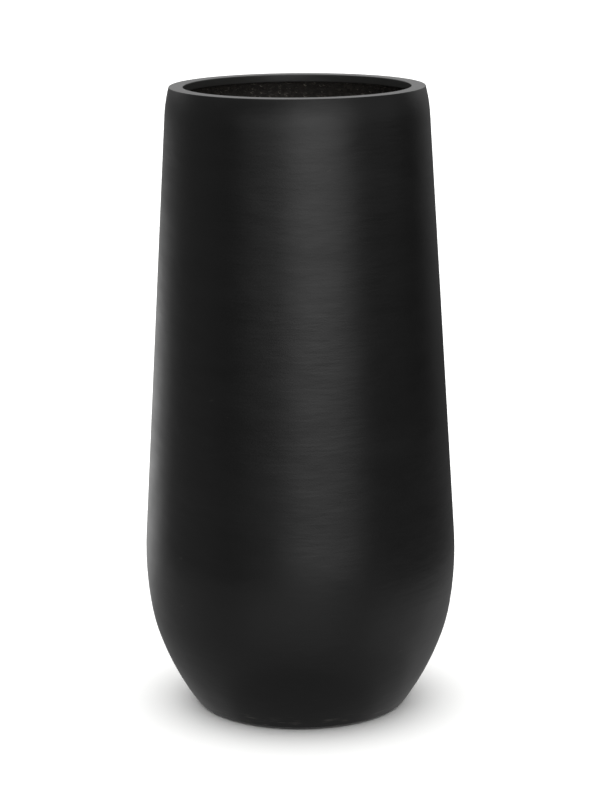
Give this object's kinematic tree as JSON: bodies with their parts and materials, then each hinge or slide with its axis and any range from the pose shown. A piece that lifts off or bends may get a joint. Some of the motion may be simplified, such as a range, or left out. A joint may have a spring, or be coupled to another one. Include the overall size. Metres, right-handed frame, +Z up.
{
  "type": "floor planter",
  "caption": "Tall round fiberglass floor planter with a low swelling belly, a tapered upper wall, a thick flat lip and a stoppered drain in its floor.",
  "frame": {"origin": "on the floor, under the centre of the foot, at the pads' undersides", "axes": "+Z up along the planter's axis; -Y towards the viewer; the joint of the two shell halves lies in the XZ plane"},
  "size_m": [0.4998, 0.4998, 1],
  "materials": {
    "satin_laminate": "hand-sanded and sprayed satin black outside, rough glass mat inside",
    "glass_mat": "rough chopped-strand laminate, brushed black",
    "bonding_resin": "wiped resin bead, brushed black",
    "plug_rubber": "moulded matt rubber",
    "pad_rubber": "matt rubber"
  },
  "bodies": {
    "planter": {"front_shell_half": "satin_laminate", "back_shell_half": "satin_laminate", "left_seam_tape": "glass_mat", "right_seam_tape": "glass_mat", "rim_ring": "satin_laminate", "floor_panel": "glass_mat", "floor_cove": "bonding_resin", "foot_pads": "pad_rubber"},
    "plug": {"drain_plug": "plug_rubber"}
  },
  "joints": [
    {"name": "plug_lift", "type": "slide", "parent": "planter", "child": "plug", "axis": [0, 0, 1], "range_m": [0, 1.02]}
  ]
}
